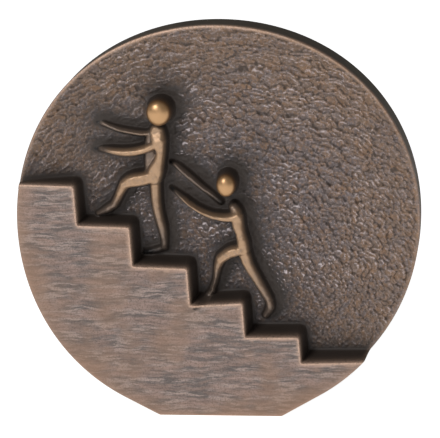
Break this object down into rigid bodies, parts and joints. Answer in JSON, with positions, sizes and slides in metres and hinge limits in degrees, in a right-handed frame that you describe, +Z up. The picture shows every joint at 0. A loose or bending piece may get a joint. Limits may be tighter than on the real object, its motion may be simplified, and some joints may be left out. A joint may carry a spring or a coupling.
{
  "type": "relief plaque",
  "caption": "Cast bronze relief plaque: a disc with a flat foot, with ball-headed figures climbing a stair over a sunk, hammered ground.",
  "frame": {"origin": "bottom centre of the whole, on the flat foot, halfway through the depth", "axes": "+X to the right as the relief is looked at, +Y into the back, +Z up"},
  "size_m": [0.1186, 0.0128, 0.118],
  "materials": {
    "patinated_bronze": "cast bronze with dark brown patina, its high points and edges rubbed bright"
  },
  "bodies": {
    "root": {"relief_plaque": "patinated_bronze"}
  },
  "joints": []
}
